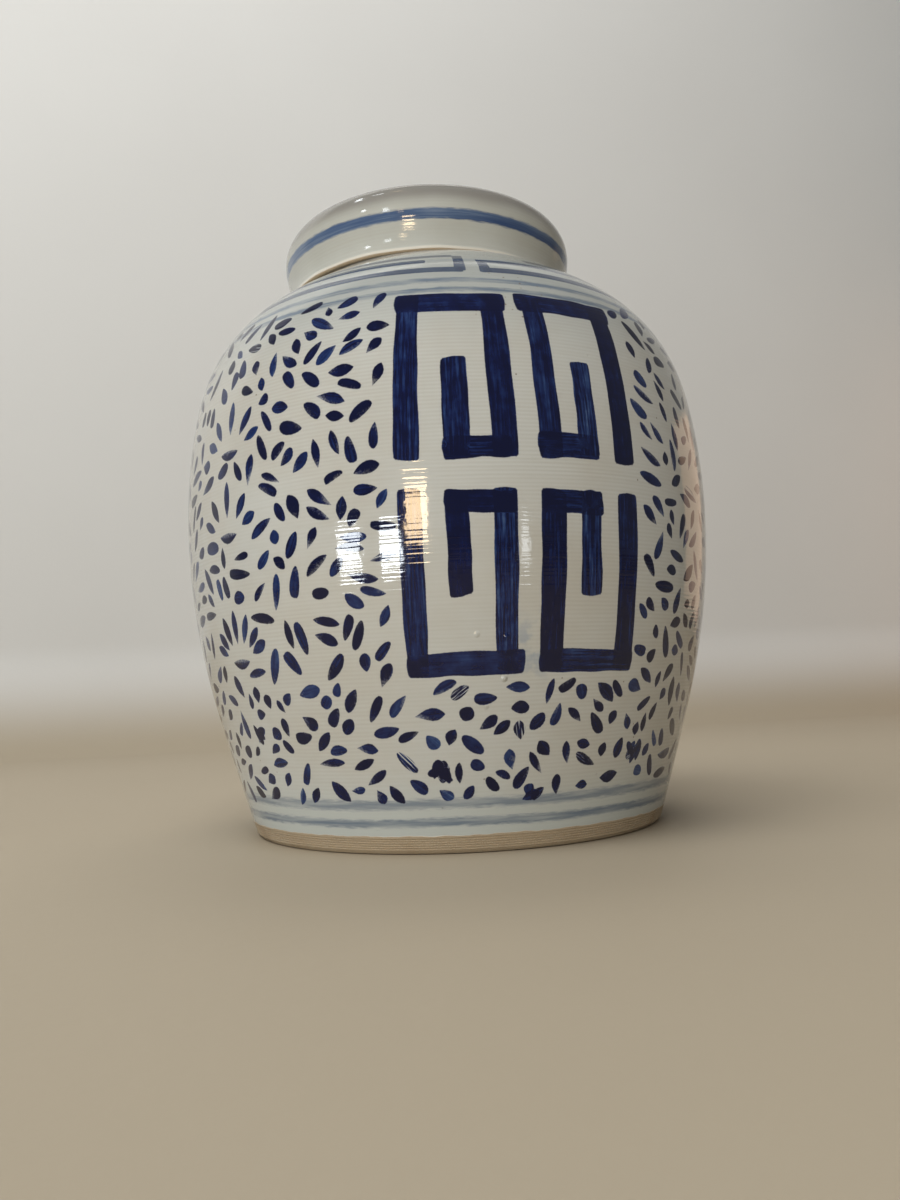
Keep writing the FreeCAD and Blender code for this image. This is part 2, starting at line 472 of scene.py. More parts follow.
def wall_mesh(wall, marks):
    """Points (angle, g) and triangles over the wall, with edges along every mark. The first points are the foot
    circle and then the seat circle, each SEGMENTS long."""
    rng = np.random.default_rng(SEED + 1)
    circle = np.arange(SEGMENTS) * 2 * math.pi / SEGMENTS
    top = wall.g[-1]
    angles = [circle, circle]
    lengths = [np.zeros(SEGMENTS), np.full(SEGMENTS, top)]
    edges = [(i, (i + 1) % SEGMENTS) for i in range(SEGMENTS)]
    edges += [(i + SEGMENTS, j + SEGMENTS) for i, j in edges]
    total = 2 * SEGMENTS
    seam = np.linspace(0, top, 60)[1:-1]
    angles.append(np.full(len(seam), math.pi))
    lengths.append(seam)
    line = [SEGMENTS // 2] + list(range(total, total + len(seam))) + [SEGMENTS + SEGMENTS // 2]
    edges += list(zip(line, line[1:]))
    total += len(seam)
    for mark in marks:
        for ring in (mark.outline, mark.inner):
            angle, g = mark.on_wall(ring)
            angles.append(angle)
            lengths.append(g)
            count = len(ring)
            edges += [(total + i, total + (i + 1) % count) for i in range(count)]
            total += count
    plain = plain_points(rng, wall, (np.concatenate(angles), np.concatenate(lengths)))
    angle = np.concatenate(angles + [plain[0]])
    g = np.concatenate(lengths + [plain[1]])
    size = np.exp(g)
    flat = [Vector((x, y)) for x, y in zip(size * np.cos(angle), size * np.sin(angle))]
    points, _, faces, origins, _, _ = delaunay_2d_cdt(flat, edges, [], 0, 1e-7, True)
    points = np.array([tuple(p) for p in points])
    new_angle = np.arctan2(points[:, 1], points[:, 0])
    new_g = np.log(np.hypot(points[:, 0], points[:, 1]))
    first = {}
    for i, origin in enumerate(origins):
        for o in origin:
            if o < 2 * SEGMENTS:
                first[o] = i
    order = [first[o] for o in range(2 * SEGMENTS)]
    rest = sorted(set(range(len(points))) - set(order))
    place = np.empty(len(points), int)
    place[order + rest] = np.arange(len(points))
    triangles = place[np.array([f for f in faces if len(f) == 3])]
    triangles = triangles[~(triangles < SEGMENTS).all(axis=1)]
    new_angle = new_angle[order + rest]
    new_g = np.clip(new_g[order + rest], 0, top)
    new_g[:SEGMENTS] = 0
    new_g[SEGMENTS:2 * SEGMENTS] = top
    new_angle[:2 * SEGMENTS] = np.concatenate([circle, circle])
    used = np.zeros(len(points), bool)
    used[triangles] = True
    if not used.all():
        renumber = np.cumsum(used) - 1
        triangles = renumber[triangles]
        new_angle = new_angle[used]
        new_g = new_g[used]
    return new_angle, new_g, triangles


def depth_inside(x, y, outline):
    """How far each point is inside the outline, negative outside it."""
    a = outline
    b = np.roll(outline, -1, axis=0)
    d = b - a
    px = x[:, None] - a[None, :, 0]
    py = y[:, None] - a[None, :, 1]
    t = np.clip((px * d[:, 0] + py * d[:, 1]) / np.maximum((d ** 2).sum(axis=1), 1e-12), 0, 1)
    apart = np.hypot(px - t * d[:, 0], py - t * d[:, 1]).min(axis=1)
    above = a[None, :, 1] > y[:, None]
    crosses = above != (b[None, :, 1] > y[:, None])
    safe = np.where(np.abs(d[:, 1]) < 1e-12, 1e-12, d[:, 1])
    at = a[None, :, 0] + (y[:, None] - a[None, :, 1]) / safe * d[:, 0]
    inside = (crosses & (x[:, None] < at)).sum(axis=1) % 2 == 1
    return np.where(inside, apart, -apart)


def paint(angle, g, marks):
    """Ink cover, strength, dryness and the brush's own coordinates at each point."""
    angle = spread(angle)
    order = np.argsort(angle)
    in_order = angle[order]
    ink = np.zeros(len(angle))
    tone = np.ones(len(angle))
    dry = np.zeros(len(angle))
    brush = np.zeros((len(angle), 3))
    for mark in marks:
        reach = mark.reach / mark.radius
        for turn in (-2 * math.pi, 0.0, 2 * math.pi):
            middle = spread(mark.angle) + turn
            low, high = np.searchsorted(in_order, [middle - reach, middle + reach])
            near = order[low:high]
            near = near[np.abs(g[near] - mark.g) < reach]
            if not len(near):
                continue
            x = (angle[near] - middle) * mark.radius
            y = (g[near] - mark.g) * mark.radius
            depth = depth_inside(x, y, mark.outline)
            hit = depth > -0.01
            near, x, y, depth = near[hit], x[hit], y[hit], depth[hit]
            cover = np.clip(depth / INK_EDGE, 0, 1)
            along, across = mark.back(x, y)
            ends = np.abs(along) / (mark.length / 2)
            pool = 0.10 * np.clip(ends, 0, 1) ** 4 + 0.10 * (2 * across / mark.width) ** 2 - 0.05
            strength = mark.tone + pool * mark.core
            over = cover >= ink[near] - 0.02
            doubled = np.where(ink[near] > 0.5, 0.18, 0.0)
            tone[near[over]] = (strength + doubled)[over]
            dry[near[over]] = mark.dry
            brush[near[over]] = np.stack([along, across, np.full(len(along), mark.seed)], axis=1)[over]
            ink[near] = np.maximum(ink[near], cover)
    return ink, tone, dry, brush


# ---------------------------------------------------------------- turned parts and whole meshes

def corner_normals(outline):
    """For each stretch of the outline, its outward normal (radial, upward) at each end, smooth across gentle bends."""
    points = np.array(outline)
    step = np.diff(points, axis=0)
    step /= np.hypot(*step.T)[:, None]
    flat = np.stack([step[:, 1], -step[:, 0]], axis=1)
    starts = flat.copy()
    ends = flat.copy()
    for i in range(1, len(flat)):
        if float(flat[i] @ flat[i - 1]) > math.cos(math.radians(32)):
            both = flat[i] + flat[i - 1]
            both /= np.hypot(*both)
            starts[i] = both
            ends[i - 1] = both
    return starts, ends


class Build:
    """Collects the points, faces, normals, UVs and material numbers of one closed piece."""

    def __init__(self, axis_x):
        self.axis_x = axis_x
        self.points = []
        self.count = 0
        self.faces = []
        self.normals = []
        self.uvs = []
        self.materials = []

    def add_points(self, angle, radius, height):
        """angle 0 faces the front, -Y, and grows to the right, +X."""
        at = np.stack([
            self.axis_x + radius * np.sin(angle),
            -radius * np.cos(angle),
            np.broadcast_to(height, np.shape(angle)),
        ], axis=-1).reshape(-1, 3)
        self.points.append(at)
        first = self.count
        self.count += len(at)
        return first

    def ring(self, radius, height):
        """The number of the first point of a circle, or of the one point on the axis."""
        if radius == 0:
            return self.add_points(np.zeros(1), np.zeros(1), height), 1
        turn = np.arange(SEGMENTS) * 2 * math.pi / SEGMENTS
        return self.add_points(turn, np.full(SEGMENTS, radius), height), SEGMENTS

    def turn(self, outline, material, v_low, v_high, first=None, last=None):
        """Turns an outline. first and last are circles that are already there."""
        starts, ends = corner_normals(outline)
        rings = [self.ring(*place) for place in outline[1 if first else 0:-1 if last else None]]
        rings = ([first] if first else []) + rings + ([last] if last else [])
        length = np.concatenate([[0], np.cumsum(np.hypot(*np.diff(np.array(outline), axis=0).T))])
        v = v_low + (v_high - v_low) * length / length[-1]
        for i in range(len(outline) - 1):
            (a, a_count), (b, b_count) = rings[i], rings[i + 1]
            number = material(0.5 * (outline[i][0] + outline[i + 1][0]), 0.5 * (outline[i][1] + outline[i + 1][1]))
            for k in range(SEGMENTS):
                j = (k + 1) % SEGMENTS
                left, right = (k / SEGMENTS + 0.5), ((k + 1) / SEGMENTS + 0.5)
                if left >= 1:
                    left, right = left - 1, right - 1
                corners = [(a, k, v[i], starts[i], left), (a, j, v[i], starts[i], right),
                           (b, j, v[i + 1], ends[i], right), (b, k, v[i + 1], ends[i], left)]
                if a_count == 1:
                    corners.pop(1)
                    corners[0] = (a, 0, v[i], starts[i], (left + right) / 2)
                if b_count == 1:
                    corners.pop(2)
                    corners[-1] = (b, 0, v[i + 1], ends[i], (left + right) / 2)
                face = []
                for base, at, height, normal, across in corners:
                    turn = 2 * math.pi * at / SEGMENTS
                    face.append(base + at)
                    self.normals.append((normal[0] * math.sin(turn), -normal[0] * math.cos(turn), normal[1]))
                    self.uvs.append((across, height))
                self.faces.append(face)
                self.materials.append(number)

    def mesh(self, name, materials):
        mesh = bpy.data.meshes.new(name)
        points = np.concatenate(self.points) * MM
        mesh.from_pydata(points.tolist(), [], self.faces)
        for material in materials:
            mesh.materials.append(material)
        mesh.polygons.foreach_set("material_index", self.materials)
        mesh.polygons.foreach_set("use_smooth", [True] * len(self.faces))
        layer = mesh.uv_layers.new(name="OFBake")
        layer.data.foreach_set("uv", np.array(self.uvs, np.float32).reshape(-1))
        mesh.normals_split_custom_set(self.normals)
        mesh.update()
        piece = bpy.data.objects.new(name, mesh)
        bpy.context.scene.collection.objects.link(piece)
        return piece


def painted_wall(build, wall, marks):
    """Adds the wall's triangles; returns the foot and seat circles and the marks' values for its points."""
    angle, g, triangles = wall_mesh(wall, marks)
    s = np.interp(g, wall.g, wall.s)
    radius = wall.read("r", s)
    first = build.add_points(angle, radius, wall.read("z", s))
    out_r = wall.read("out_r", s)
    normals = np.stack([out_r * np.sin(angle), -out_r * np.cos(angle), wall.read("out_z", s)], axis=1)
    x, y = np.exp(g) * np.cos(angle), np.exp(g) * np.sin(angle)
    a, b, c = triangles.T
    area = (x[b] - x[a]) * (y[c] - y[a]) - (x[c] - x[a]) * (y[b] - y[a])
    triangles = np.where((area > 0)[:, None], triangles[:, ::-1], triangles)
    middle = np.arctan2(y[triangles].mean(axis=1), x[triangles].mean(axis=1))
    around = middle[:, None] + spread(angle[triangles] - middle[:, None])
    u = 0.5 + np.clip(around, -math.pi, math.pi) / (2 * math.pi)
    v = 0.63 * s[triangles] / wall.length
    build.faces += (triangles + first).tolist()
    build.normals += normals[triangles].reshape(-1, 3).tolist()
    build.uvs += np.stack([u, v], axis=2).reshape(-1, 2).tolist()
    build.materials += [0] * len(triangles)
    return first, paint(angle, g, marks)


def jar_piece(materials):
    """Makes the jar and gives back its wall curve."""
    outline = outline_of("jar_body", 0.0)
    foot = nearest(outline, FOOT_RADIUS, FOOT_HEIGHT)
    seat = nearest(outline, SEAT_RADIUS, SEAT_HEIGHT)
    wall = WallCurve(outline[foot:seat + 1])
    marks = all_marks(wall)
    build = Build(0.0)
    first, (ink, tone, dry, brush) = painted_wall(build, wall, marks)
    build.turn(outline[:foot + 1], lambda r, z: 1, 0.98, 0.90, last=(first, SEGMENTS))
    build.turn(
        outline[seat:], lambda r, z: 1 if r > NECK_CLAY[0] and z > NECK_CLAY[1] else 2, 0.66, 0.88,
        first=(first + SEGMENTS, SEGMENTS),
    )
    piece = build.mesh("jar_painted", materials)
    count = build.count
    for name, values in (("ink", ink), ("tone", tone), ("dry", dry)):
        layer = piece.data.attributes.new(name, "FLOAT", "POINT")
        layer.data.foreach_set("value", np.concatenate([values, np.zeros(count - len(values))]).astype(np.float32))
    layer = piece.data.attributes.new("brush", "FLOAT_VECTOR", "POINT")
    whole = np.concatenate([brush, np.zeros((count - len(brush), 3))])
    layer.data.foreach_set("vector", whole.astype(np.float32).reshape(-1))
    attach(piece, "jar")
    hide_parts("jar_body")
    return wall


def lid_piece(materials):
    """Makes the lid and gives back the curve of its side."""
    outline = outline_of("lid", LID_AXIS)
    low, high = nearest(outline, *LID_SIDE_LOW), nearest(outline, *LID_SIDE_HIGH)
    build = Build(LID_AXIS)

    def material(radius, height):
        inside = radius < LID_INSIDE_CLAY[0] and height < LID_INSIDE_CLAY[1]
        return 1 if height < LID_CLAY_HEIGHT or inside else 0

    build.turn(outline, material, 0.02, 0.98)
    piece = build.mesh("lid_glazed", materials)
    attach(piece, "lid")
    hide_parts("lid")
    return WallCurve(outline[low:high + 1])


# ---------------------------------------------------------------- materials

class Graph:
    """Builds one material's node tree. Each method gives back an output socket."""

    def __init__(self, name):
        self.material = bpy.data.materials.new(name)
        self.material.use_nodes = True
        self.tree = self.material.node_tree
        self.tree.nodes.clear()
        self.place = self.node("ShaderNodeTexCoord").outputs["Object"]
        self.mm = self.vector("SCALE", self.place, scale=1000.0)
        split = self.node("ShaderNodeSeparateXYZ")
        self.put(split.inputs[0], self.mm)
        self.z = split.outputs["Z"]

    def put(self, socket, value):
        if isinstance(value, bpy.types.NodeSocket):
            self.tree.links.new(value, socket)
        else:
            socket.default_value = value

    def node(self, kind, **settings):
        made = self.tree.nodes.new(kind)
        for name, value in settings.items():
            setattr(made, name, value)
        return made

    def math(self, operation, a, b=0.0, c=0.0, clamp=False):
        made = self.node("ShaderNodeMath", operation=operation, use_clamp=clamp)
        for socket, value in zip(made.inputs, (a, b, c)):
            self.put(socket, value)
        return made.outputs[0]

    def vector(self, operation, a, b=None, scale=None):
        made = self.node("ShaderNodeVectorMath", operation=operation)
        self.put(made.inputs[0], a)
        if b is not None:
            self.put(made.inputs[1], b)
        if scale is not None:
            self.put(made.inputs["Scale"], scale)
        return made.outputs[0]

    def noise(self, where, scale, detail=2.0, roughness=0.5, distortion=0.0):
        made = self.node("ShaderNodeTexNoise")
        self.put(made.inputs["Vector"], where)
        for name, value in (("Scale", scale), ("Detail", detail), ("Roughness", roughness), ("Distortion", distortion)):
            self.put(made.inputs[name], value)
        return made.outputs[0]

    def spots(self, where, scale):
        """Distance to the nearest of randomly placed points, and a random number for each."""
        made = self.node("ShaderNodeTexVoronoi")
        self.put(made.inputs["Vector"], where)
        self.put(made.inputs["Scale"], scale)
        split = self.node("ShaderNodeSeparateColor")
        self.put(split.inputs[0], made.outputs["Color"])
        return made.outputs["Distance"], split.outputs[0]

    def near(self, x, z, inner, outer):
        """1 within inner millimetres of a place on the front, sideways and upwards, and 0 beyond outer."""
        made = self.node("ShaderNodeVectorMath", operation="DISTANCE")
        self.put(made.inputs[0], self.vector("MULTIPLY", self.mm, b=(1.0, 0.0, 1.0)))
        self.put(made.inputs[1], (x, 0.0, z))
        return self.step(made.outputs["Value"], inner, outer, 1.0, 0.0)

    def step(self, value, low, high, to_low=0.0, to_high=1.0):
        made = self.node("ShaderNodeMapRange", interpolation_type="SMOOTHSTEP")
        numbers = {"Value": value, "From Min": low, "From Max": high, "To Min": to_low, "To Max": to_high}
        for name, number in numbers.items():
            self.put(made.inputs[name], number)
        return made.outputs[0]

    def mix(self, share, a, b):
        made = self.node("ShaderNodeMix", data_type="RGBA")
        for index, value in ((0, share), (6, a), (7, b)):
            self.put(made.inputs[index], value)
        return made.outputs[2]

    def ramp(self, value, stops):
        made = self.node("ShaderNodeValToRGB")
        self.put(made.inputs[0], value)
        band = made.color_ramp.elements
        while len(band) < len(stops):
            band.new(0.5)
        for element, (at, colour) in zip(band, stops):
            element.position = at
            element.color = (*colour, 1.0)
        return made.outputs[0]

    def attribute(self, name, output="Fac"):
        made = self.node("ShaderNodeAttribute", attribute_name=name)
        return made.outputs[output]

    def bump(self, height, strength, distance, normal=None):
        made = self.node("ShaderNodeBump")
        self.put(made.inputs["Height"], height)
        self.put(made.inputs["Strength"], strength)
        self.put(made.inputs["Distance"], distance)
        if normal is not None:
            self.put(made.inputs["Normal"], normal)
        return made.outputs[0]

    def stretched(self, around, up):
        """Object place in millimetres, scaled sideways and upwards by different amounts."""
        return self.vector("MULTIPLY", self.mm, b=(around, around, up))

    def band(self, middle, half, soft):
        """1 inside a level band of the given half height, wavy and softly edged."""
        sway = self.noise(self.stretched(0.012, 0.0), 1.0, 1.0)
        at = self.math("ADD", self.z, self.math("MULTIPLY", self.math("SUBTRACT", sway, 0.5), 2.2))
        away = self.math("ABSOLUTE", self.math("SUBTRACT", at, middle))
        fray = self.noise(self.stretched(0.25, 1.6), 1.0, 3.0)
        frayed = self.math("MULTIPLY", self.math("SUBTRACT", fray, 0.5), soft * 1.4)
        return self.step(self.math("ADD", away, frayed), half - soft / 2, half + soft / 2, 1.0, 0.0)

    def surface(self, colour, roughness, normal, specular=0.5):
        shader = self.node("ShaderNodeBsdfPrincipled")
        self.put(shader.inputs["Base Color"], colour)
        self.put(shader.inputs["Roughness"], roughness)
        self.put(shader.inputs["Normal"], normal)
        self.put(shader.inputs["Specular IOR Level"], specular)
        output = self.node("ShaderNodeOutputMaterial")
        self.put(output.inputs["Surface"], shader.outputs[0])
        return self.material


COBALT = (
    (0.00, (0.42, 0.45, 0.46)), (0.20, (0.19, 0.24, 0.32)), (0.38, (0.062, 0.100, 0.185)),
    (0.55, (0.019, 0.043, 0.128)), (0.72, (0.0055, 0.0155, 0.074)), (0.88, (0.0013, 0.0042, 0.038)),
    (1.00, (0.0006, 0.0020, 0.023)),
)
CLAY = (0.34, 0.285, 0.205, 1)


def throwing_lines(g):
    """Faint rings about 1.3 mm apart, 0 to 1, stronger in some places than others."""
    phase = g.math("MULTIPLY_ADD", g.noise(g.stretched(0.010, 0.05), 1.0, 2.0), 9.0, g.math("MULTIPLY", g.z, 4.83))
    lines = g.math("MULTIPLY_ADD", g.math("SINE", phase), 0.5, 0.5)
    return g.math("MULTIPLY", lines, g.step(g.noise(g.mm, 0.012, 3.0), 0.30, 0.65, 0.15, 1.0))


def glaze_ground(g, pale, warm):
    """The uneven ivory of the glaze, with iron specks; returns the colour."""
    cloud = g.noise(g.mm, 0.018, 4.0, 0.6)
    colour = g.mix(g.step(cloud, 0.35, 0.68), pale, warm)
    fine = g.noise(g.stretched(0.03, 0.75), 1.0, 3.0)
    colour = g.mix(g.math("MULTIPLY", g.step(fine, 0.45, 0.8), 0.22), colour, (0.36, 0.35, 0.31, 1))
    colour = g.mix(g.math("MULTIPLY", throwing_lines(g), 0.30), colour, (0.33, 0.32, 0.275, 1))
    away, chance = g.spots(g.mm, 0.16)
    speck = g.math("MULTIPLY", g.step(away, 0.03, 0.07, 1.0, 0.0), g.step(chance, 0.70, 0.73))
    colour = g.mix(g.math("MULTIPLY", speck, 0.7), colour, (0.10, 0.065, 0.04, 1))
    return colour


def glaze_relief(g, strength):
    """Throwing lines under the glaze, a slight orange peel and a few pinholes; returns the normal."""
    lines = g.noise(g.stretched(0.004, 0.72), 1.0, 2.0, 0.6)
    peel = g.noise(g.mm, 0.30, 2.0)
    normal = g.bump(lines, strength, 0.0006)
    normal = g.bump(throwing_lines(g), strength * 0.6, 0.0002, normal)
    normal = g.bump(peel, 0.10, 0.0004, normal)
    away, chance = g.spots(g.mm, 0.11)
    hole = g.math("MULTIPLY", g.step(away, 0.02, 0.06, 1.0, 0.0), g.step(chance, 0.88, 0.9))
    return g.bump(g.math("MULTIPLY", hole, -1.0), 0.5, 0.0003, normal)


def clay_look(g):
    """Colour and relief of the bare buff clay."""
    grain = g.noise(g.mm, 2.2, 4.0, 0.7)
    lines = g.noise(g.stretched(0.02, 2.6), 1.0, 3.0)
    colour = g.mix(g.step(grain, 0.3, 0.7), CLAY, (0.30, 0.235, 0.155, 1))
    stain = g.noise(g.mm, 0.06, 3.0)
    colour = g.mix(g.math("MULTIPLY", g.step(stain, 0.5, 0.75), 0.5), colour, (0.22, 0.155, 0.095, 1))
    height = g.math("ADD", grain, g.math("MULTIPLY", lines, 1.4))
    return colour, height


def cobalt_glaze():
    g = Graph("cobalt_under_glaze")
    ground = glaze_ground(g, (0.432, 0.444, 0.426, 1), (0.404, 0.399, 0.364, 1))
    ground = g.mix(g.step(g.z, 9.0, 30.0, 0.75, 0.0), ground, (0.365, 0.405, 0.400, 1))
    # Painted shade and reflection: the ground turns a darker grey-blue up the shoulder, from 160 to 198 mm.
    ground = g.mix(g.step(g.z, 160.0, 198.0, 0.0, 0.75), ground, (0.275, 0.300, 0.290, 1))
    ink = g.attribute("ink")
    tone = g.attribute("tone")
    dry = g.attribute("dry")
    brush = g.attribute("brush", "Vector")
    streak_at = g.vector("MULTIPLY", brush, b=(0.07, 1.15, 3.7))
    streak = g.noise(streak_at, 1.0, 3.0, 0.6)
    blotch = g.noise(g.mm, 0.22, 3.0, 0.55)
    ragged = g.noise(g.mm, 1.5, 2.0)
    edge = g.math("ADD", ink, g.math("MULTIPLY", g.math("SUBTRACT", ragged, 0.5), 0.5))
    gaps = g.math("MULTIPLY", g.step(streak, 0.50, 0.60), g.step(dry, 1.2, 1.5))
    cover = g.math("MULTIPLY", g.step(edge, 0.10, 0.85), g.math("MULTIPLY_ADD", gaps, -0.85, 1.0))
    light = g.math("MULTIPLY", g.math("SUBTRACT", streak, 0.45), g.math("MULTIPLY_ADD", dry, 1.35, 0.10))
    uneven = g.math("MULTIPLY", g.math("SUBTRACT", blotch, 0.5), 0.55)
    strength = g.math("SUBTRACT", g.math("SUBTRACT", g.math("MULTIPLY", tone, 0.90), light), uneven)
    cobalt = g.ramp(g.math("MULTIPLY", strength, g.math("MULTIPLY_ADD", cover, 0.58, 0.42), clamp=True), COBALT)
    cobalt = g.mix(g.step(g.z, 184.0, 194.0, 0.0, 0.75), cobalt, (0.062, 0.077, 0.103, 1))
    wash = None
    for middle, half, soft, strong in (
        (10.4, 1.35, 1.3, 0.95), (16.6, 1.55, 1.7, 0.80), (185.8, 1.0, 1.1, 0.95), (190.4, 1.05, 1.1, 0.90),
    ):
        patchy = g.step(g.noise(g.stretched(0.035, 0.5), 1.0 + middle * 0.003, 3.0), 0.30, 0.62, 0.42, 1.0)
        ring = g.math("MULTIPLY", g.math("MULTIPLY", g.band(middle, half, soft), patchy), strong)
        wash = ring if wash is None else g.math("MAXIMUM", wash, ring)
    colour = g.mix(wash, ground, (0.105, 0.140, 0.190, 1))
    smear = g.math("MULTIPLY", g.near(2.0, 66.0, 2.0, 15.0), g.step(g.noise(g.mm, 0.20, 3.0), 0.42, 0.62, 0.0, 0.55))
    colour = g.mix(smear, colour, (0.19, 0.245, 0.31, 1))
    away, chance = g.spots(g.mm, 0.45)
    speck = g.math("MULTIPLY", g.step(away, 0.12, 0.24, 1.0, 0.0), g.step(chance, 0.34, 0.36))
    speck = g.math("MULTIPLY", speck, g.near(1.0, 182.0, 8.0, 18.0))
    colour = g.mix(g.math("MULTIPLY", speck, 0.75), colour, (0.12, 0.075, 0.045, 1))
    colour = g.mix(cover, colour, cobalt)
    clay, clay_height = clay_look(g)
    edge_noise = g.noise(g.stretched(0.15, 0.0), 1.0, 2.0)
    foot = g.step(g.math("ADD", g.z, g.math("MULTIPLY", edge_noise, 1.3)), 6.5, 6.9, 1.0, 0.0)
    colour = g.mix(foot, colour, clay)
    relief = glaze_relief(g, 0.11)
    away, chance = g.spots(g.mm, 0.18)
    blister = g.math("MULTIPLY", g.step(away, 0.04, 0.24, 1.0, 0.0), g.step(chance, 0.45, 0.47))
    relief = g.bump(g.math("MULTIPLY", blister, g.near(-10.0, 59.0, 9.0, 17.0)), 0.9, 0.0006, relief)
    relief = g.bump(g.math("MULTIPLY", clay_height, foot), 0.5, 0.0003, relief)
    rough = g.math("MULTIPLY_ADD", g.noise(g.mm, 0.05, 3.0), 0.07, 0.035)
    rough = g.math("MULTIPLY_ADD", foot, 0.6, rough)
    return g.surface(colour, rough, relief)


def bare_clay():
    g = Graph("bare_clay")
    colour, height = clay_look(g)
    return g.surface(colour, 0.86, g.bump(height, 0.6, 0.0004), 0.25)


def inner_glaze():
    g = Graph("inner_glaze")
    ground = glaze_ground(g, (0.42, 0.415, 0.37, 1), (0.37, 0.36, 0.31, 1))
    rough = g.math("MULTIPLY_ADD", g.noise(g.mm, 0.05, 3.0), 0.10, 0.12)
    return g.surface(ground, rough, glaze_relief(g, 0.35))


def celadon_lid():
    g = Graph("celadon_glaze")
    ground = glaze_ground(g, (0.40, 0.415, 0.39, 1), (0.36, 0.37, 0.34, 1))
    # Painted shade: the outer side of the lid darkens towards its rounded top, from above the band upwards.
    top_shade = g.step(g.math("ADD", g.z, g.math("MULTIPLY", g.noise(g.stretched(0.03, 0.0), 1.0, 2.0), 4.0)), 234.5, 241.0)
    split = g.node("ShaderNodeSeparateXYZ")
    g.put(split.inputs[0], g.mm)
    from_axis = g.math("SQRT", g.math("ADD", g.math("POWER", g.math("SUBTRACT", split.outputs[0], LID_AXIS), 2.0),
                                      g.math("POWER", split.outputs[1], 2.0)))
    rough_edge = g.math("ADD", from_axis, g.math("MULTIPLY", g.noise(g.mm, 0.06, 3.0), 6.0))
    outer = g.step(rough_edge, 50.0, 57.0)
    ground = g.mix(g.math("MULTIPLY", top_shade, outer), ground, (0.190, 0.184, 0.168, 1))
    # Painted shade, darkest and brownish, along the rounded top edge of the lid's outer side.
    edge = g.step(g.math("ADD", g.z, g.math("MULTIPLY", g.noise(g.mm, 0.08, 3.0), 2.0)), 243.2, 245.0)
    ground = g.mix(g.math("MULTIPLY", g.math("MULTIPLY", edge, outer), 0.8), ground, (0.095, 0.075, 0.055, 1))
    streak = g.noise(g.stretched(0.05, 2.2), 1.0, 3.0, 0.6)
    patch = g.noise(g.stretched(0.02, 0.1), 1.0, 2.0)
    strength = g.math("ADD", g.math("MULTIPLY", streak, 0.30), g.math("MULTIPLY", g.step(patch, 0.35, 0.7), 0.24))
    paint = g.ramp(g.math("ADD", strength, 0.12), COBALT)
    outside = g.step(from_axis, 54.6, 56.0)
    colour = g.mix(g.math("MULTIPLY", g.band(LID_BAND_HEIGHT, 1.95, 1.0), outside), ground, paint)
    clay, clay_height = clay_look(g)
    sway = g.math("MULTIPLY", g.noise(g.stretched(0.05, 0.0), 1.0, 2.0), 1.2)
    low = g.math("ADD", g.z, sway)
    rim = g.step(low, 217.5, 217.9, 1.0, 0.0)
    lip = g.math("MULTIPLY", g.step(low, 217.4, 217.9), g.step(low, 218.3, 219.2, 1.0, 0.0))
    colour = g.mix(g.math("MULTIPLY", lip, 0.7), colour, (0.60, 0.57, 0.50, 1))
    colour = g.mix(rim, colour, clay)
    relief = glaze_relief(g, 0.12)
    relief = g.bump(lip, 0.4, 0.0004, relief)
    relief = g.bump(g.math("MULTIPLY", clay_height, rim), 0.5, 0.0003, relief)
    rough = g.math("MULTIPLY_ADD", g.noise(g.mm, 0.05, 3.0), 0.07, 0.04)
    rough = g.math("MULTIPLY_ADD", rim, 0.6, rough)
    return g.surface(colour, rough, relief)


def pale_paint():
    g = Graph("pale_paint")
    cloud = g.noise(g.mm, 0.004, 3.0)
    floor = g.mix(cloud, (0.415, 0.352, 0.260, 1), (0.39, 0.33, 0.243, 1))
    wall = g.mix(cloud, (0.80, 0.795, 0.765, 1), (0.75, 0.74, 0.71, 1))
    colour = g.mix(g.step(g.z, 5.0, 110.0), floor, wall)
    return g.surface(colour, 0.6, g.bump(g.noise(g.mm, 0.25, 3.0), 0.12, 0.0006), 0.2)


# ---------------------------------------------------------------- floor, light and camera

def studio_sweep():
    """One pale sheet: a floor that curves up into the backdrop well behind the jar."""
    back, bend, top, side, steps = 0.72, 0.12, 3.0, 4.0, 16
    line = [(-3.0, 0.0), (0.0, 0.0), (back - bend, 0.0)]
    for k in range(1, steps + 1):
        turn = 0.5 * math.pi * k / steps
        line.append((back - bend + bend * math.sin(turn), bend - bend * math.cos(turn)))
    line.append((back, top))
    corners = [(x, y, z - FLOOR_DROP) for y, z in line for x in (-side, side)]
    faces = [(2 * k, 2 * k + 1, 2 * k + 3, 2 * k + 2) for k in range(len(line) - 1)]
    mesh = bpy.data.meshes.new("studio_sweep")
    mesh.from_pydata(corners, [], faces)
    mesh.polygons.foreach_set("use_smooth", [True] * len(faces))
    mesh.materials.append(pale_paint())
    sheet = bpy.data.objects.new("studio_sweep", mesh)
    bpy.context.scene.collection.objects.link(sheet)


def aim(thing, at, toward, roll=0.0):
    """Places a thing so that its -Z looks from at toward a point, turned about that line by roll."""
    back = (Vector(at) - Vector(toward)).normalized()
    right = Vector((0, 0, 1)).cross(back).normalized()
    up = back.cross(right)
    c, s = math.cos(roll), math.sin(roll)
    right, up = right * c + up * s, up * c - right * s
    turn = Matrix((right, up, back)).transposed().to_4x4()
    thing.matrix_world = Matrix.Translation(at) @ turn


def area_light(name, at, toward, size, power, colour, mirrored=False, only=None):
    """A soft light. The glaze mirrors it only if it is mirrored, and with only it reaches just that collection."""
    light = bpy.data.lights.new(name, "AREA")
    light.shape = "RECTANGLE"
    light.size, light.size_y = size
    light.energy = power
    light.color = colour
    lamp = bpy.data.objects.new(name, light)
    bpy.context.scene.collection.objects.link(lamp)
    lamp.visible_camera = False
    lamp.visible_glossy = mirrored
    if only:
        lamp.light_linking.receiver_collection = only
    aim(lamp, at, toward)
    return lamp


